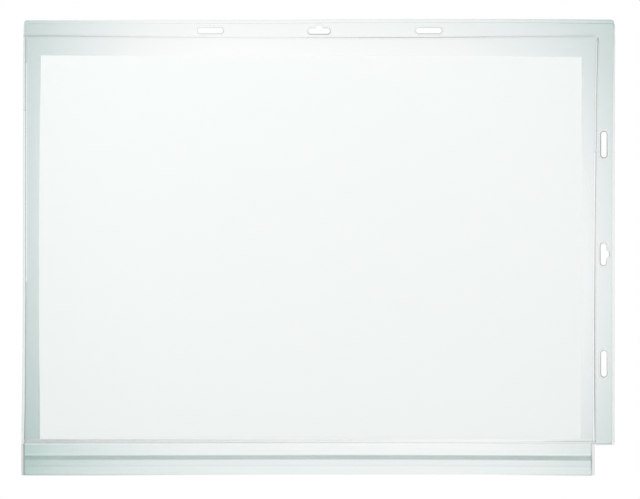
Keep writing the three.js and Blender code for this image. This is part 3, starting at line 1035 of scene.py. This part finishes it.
def outer_section():
    ridge_drop, ridge_height, ridge_rise = RIDGE
    drop, height, rise = PROFILE
    top = drop - height / 2
    foot = drop + height / 2
    points = [(TAPE, LIP_FOOT), (TAPE + FOOT_BEAD, LIP_FOOT - 0.15), (TAPE + FOOT_BEAD, LIP_FOOT - 0.7)]
    points += [(TAPE, LIP_FOOT - FOOT_BEAD_HEIGHT)]
    for i in range(RIDGE_SIDES + 1):
        share = i / RIDGE_SIDES
        out = ridge_rise * math.sin(math.pi * share)
        points.append((TAPE + out, ridge_drop + ridge_height * (0.5 - share)))
    points += [
        (TAPE, foot + PROFILE_SKIRT),
        (TAPE + rise * 0.8, foot - 0.25),
        (TAPE + rise, foot - PROFILE_BEVEL),
        (TAPE + rise, top + PROFILE_BEVEL),
        (TAPE + rise * 0.8, top + 0.25),
        (TAPE, top - PROFILE_SKIRT),
        (TAPE, top - SHOULDER_START),
        (TAPE + SHOULDER_RISE, top - SHOULDER_START - 0.2),
        (TAPE + SHOULDER_RISE, top - SHOULDER_END + 0.2),
        (TAPE, top - SHOULDER_END),
        (TAPE, LIP_TOP),
    ]
    return points


def front_section():
    drop = PROFILE[0]
    tip = ZIP_ROOM - 0.4
    rib = [(0, -0.3), (-0.65, -0.3), (-0.68, -0.62), (-0.82, -0.6), (-tip, -0.2)]
    rib += [(out, -down) for out, down in reversed(rib)]
    return [(0, LIP_TOP)] + [(out, drop + down) for out, down in rib] + [(0, LIP_FOOT)] + outer_section()


def rear_section():
    drop = PROFILE[0]
    reach = ZIP_ROOM - 0.3
    jaw = [(0, -1.55), (-reach + 0.15, -1.55), (-reach, -1.4), (-reach, -0.95), (-reach + 0.12, -0.85)]
    jaw += [(-reach + 0.25, -0.88), (-reach + 0.3, -1.1), (0, -1.1)]
    jaw += [(out, -down) for out, down in reversed(jaw)]
    return [(0, LIP_TOP)] + [(out, drop + down) for out, down in jaw] + [(0, LIP_FOOT)] + outer_section()


def strip_finish(out_a, down_a, out_b, down_b):
    """The finish of a stretch of the section. The inner side is plain tape, and so is the outer side
    apart from the profile, the web below it, the ridge, the line above it, drawn bright as painted
    highlight, and the cut foot, drawn dark as painted shade."""
    down = (down_a + down_b) / 2
    drop, height, _ = PROFILE
    ridge_drop, ridge_height, _ = RIDGE
    top = drop - height / 2
    if min(out_a, out_b) < TAPE * 0.9:
        return tape_pvc
    if abs(down - drop) < height / 2 - PROFILE_BEVEL:
        return profile_core_pvc
    if abs(down - drop) < height / 2 + PROFILE_SKIRT:
        return profile_pvc
    if abs(down - ridge_drop) < ridge_height / 2:
        return ridge_pvc
    if drop < down < ridge_drop:
        return web_pvc
    if top - SHOULDER_END < down < top - SHOULDER_START:
        return shoulder_highlight_pvc
    return foot_edge_shade_pvc if down > LIP_FOOT - FOOT_BEAD_HEIGHT else tape_pvc


def zip_tape(name, section, inner_face, outward, left, right):
    columns = max(2, round((right - left) / STATION_STEP))
    bm = bmesh.new()
    darkness = bm.verts.layers.float.new("darkness")
    rings = []
    for i in range(columns + 1):
        x = left + (right - left) * i / columns
        wall = along(PROFILE_WALL, x / MM)
        # How strongly the painted shade on the cut foot shows here
        foot_shade = along(ZIP_FOOT_SHADE, x / MM)
        sag = along(STRIP_SAG, x)
        trim = along(FOOT_TRIM, x)
        ring = []
        for out, down in section:
            at_foot = down > LIP_FOOT - TRIM_REACH
            z = FILM_FOOT - down * MM - sag * min(down / PROFILE[0], 1.0)
            z += trim + sag if at_foot else 0.0
            vertex = bm.verts.new((x, inner_face + outward * out * MM, z))
            vertex[darkness] = foot_shade if at_foot else wall
            ring.append(vertex)
        rings.append(ring)
    count = len(section)
    finishes = [strip_finish(*section[k], *section[(k + 1) % count]) for k in range(count)]
    used = list(dict.fromkeys(finishes))
    skin(bm, rings, [used.index(finish) for finish in finishes])
    return finished(name, bm, used, sharp=30)


def make_zip():
    middle = (front_zip_low.x + front_zip_high.x) / 2
    start = end_left_high.x + ZIP_GAP
    end = end_right_low.x - RIGHT_END_GROOVE * MM - ZIP_GAP
    for node, lip, section, face, outward, low, high in (
        ("front_zip_strip", "front_lip", front_section(), PANEL_OUTER, FRONT, front_zip_low, front_zip_high),
        ("rear_zip_strip", "rear_lip", rear_section(), REAR_OUTER, BACK, rear_zip_low, rear_zip_high),
    ):
        label = lip.removesuffix("_lip")
        left = zip_tape(f"{label}_zip_tape_left", section, face, outward, start, middle - ZIP_GAP)
        right = zip_tape(f"{label}_zip_tape_right", section, face, outward, middle + ZIP_GAP, end)
        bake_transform(left)
        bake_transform(right)
        for piece in (left, right):
            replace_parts(piece, node)


# The sheet of paper inside, whose sides look slightly bowed through the film
sheet_left = cut_side(
    (-302, -216.55), (-279, -216.7), (-256, -217.2), (-232, -217.25), (-139, -217.25), (-116, -217.1),
    (-93, -216.85), (-69, -216.75), (-46, -216.2), (-24, -215.95),
)
sheet_right = cut_side(
    (-302, 203.15), (-279, 203.4), (-256, 203.9), (-209, 204.4), (-178, 205.0), (-155, 205.0),
    (-116, 204.4), (-93, 204.0), (-24, 203.9),
)
sheet_top = cut_side((-210, -19.1), (-185, -19.4), (140, -19.6), (171, -20.2), (194, -20.4))
SHEET_FOOT = -317.1 * MM


def make_sheet():
    levels = [z * MM for z in range(-305, -24, 20)]
    places = [x * MM for x in range(-200, 201, 20)]
    ring = [(sheet_left(SHEET_FOOT), SHEET_FOOT), (sheet_right(SHEET_FOOT), SHEET_FOOT)]
    ring += [(sheet_right(z), z) for z in levels]
    right = sheet_right(0.0)
    ring += [(x, sheet_top(x)) for x in (right, *reversed(places), sheet_left(0.0))]
    ring += [(sheet_left(z), z) for z in reversed(levels)]
    bm = bmesh.new()
    front = [bm.verts.new((x, sheet_low.y, z)) for x, z in ring]
    back = [bm.verts.new((x, sheet_high.y, z)) for x, z in ring]
    skin(bm, [front, back])
    piece = finished("white_paper_sheet", bm, [paper])
    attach(piece, "insert")
    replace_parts(piece, "insert_sheet")


make_films()
make_cut_edges()
make_film_welds()
make_tape_welds()
make_end_welds()
make_rims()
make_zip()
make_sheet()


# The studio: white surroundings to the camera, plain even light on the object, a pale floor
AMBIENT = 0.515


def make_world():
    world = bpy.data.worlds.new("white_studio")
    world.use_nodes = True
    tree = world.node_tree
    tree.nodes.clear()
    path = add(tree, "ShaderNodeLightPath").outputs
    seen = add(tree, MATHS, [path["Is Camera Ray"], path["Is Glossy Ray"]], operation="MAXIMUM")
    seen = add(tree, MATHS, [seen, path["Is Transmission Ray"]], operation="MAXIMUM")
    ambient = add(tree, "ShaderNodeBackground", {"Color": linear("#FFFFFF"), "Strength": AMBIENT})
    white = add(tree, "ShaderNodeBackground", {"Color": linear("#FFFFFF"), "Strength": 1.0})
    mix = add(tree, "ShaderNodeMixShader", [seen, ambient, white])
    add(tree, "ShaderNodeOutputWorld", {"Surface": mix})
    bpy.context.scene.world = world


# Each softbox's place, size and power, in metres and watts. All are aimed at the pocket's middle.
LAMP_AIM = (0, 0, -0.15)
SOFTBOXES = (
    ("key_softbox", (-0.5, -1.1, 1.0), 1.0, 13.5),
    ("fill_softbox", (1.1, -1.3, 0.3), 1.0, 3.2),
    ("rear_softbox", (0.3, 1.6, 0.8), 1.2, 10.0),
)


def softbox(name, place, size, power):
    data = bpy.data.lights.new(name, "AREA")
    data.shape = "SQUARE"
    data.size = size
    data.energy = power
    lamp = new_object(name, data)
    lamp.location = place
    lamp.rotation_euler = (Vector(LAMP_AIM) - Vector(place)).to_track_quat("-Z", "Y").to_euler()


VIEW_CENTRE = (0.0007, 0.0, -0.16986)
FRAME_WIDTH = 496.4 * MM
LENS = 85.0
SENSOR = 36.0


def make_camera():
    data = bpy.data.cameras.new("front_view")
    data.lens = LENS
    data.sensor_width = SENSOR
    data.clip_start = 0.01
    camera = new_object("front_view", data)
    distance = FRAME_WIDTH * LENS / SENSOR
    camera.location = (VIEW_CENTRE[0], PANEL_OUTER - distance, VIEW_CENTRE[2])
    camera.rotation_euler = (math.pi / 2, 0, 0)
    bpy.context.scene.camera = camera


FLOOR_LEVEL = -0.6
FLOOR_REACH = 2.0
FLOOR_BACK = 0.4


def make_floor():
    mesh = bpy.data.meshes.new("pale_floor")
    near = [(-FLOOR_REACH, -FLOOR_REACH, FLOOR_LEVEL), (FLOOR_REACH, -FLOOR_REACH, FLOOR_LEVEL)]
    far = [(FLOOR_REACH, FLOOR_BACK, FLOOR_LEVEL), (-FLOOR_REACH, FLOOR_BACK, FLOOR_LEVEL)]
    mesh.from_pydata(near + far, [], [(0, 1, 2, 3)])
    material, tree = empty_material("pale_floor_paint")
    paint = add(tree, "ShaderNodeBsdfPrincipled", {"Base Color": linear("#F6F7F7"), "Roughness": 0.9})
    add(tree, "ShaderNodeOutputMaterial", {"Surface": paint})
    new_object("pale_floor", mesh, [material])


make_world()
for lamp in SOFTBOXES:
    softbox(*lamp)
make_camera()
make_floor()
bpy.context.scene.view_settings.view_transform = "Standard"
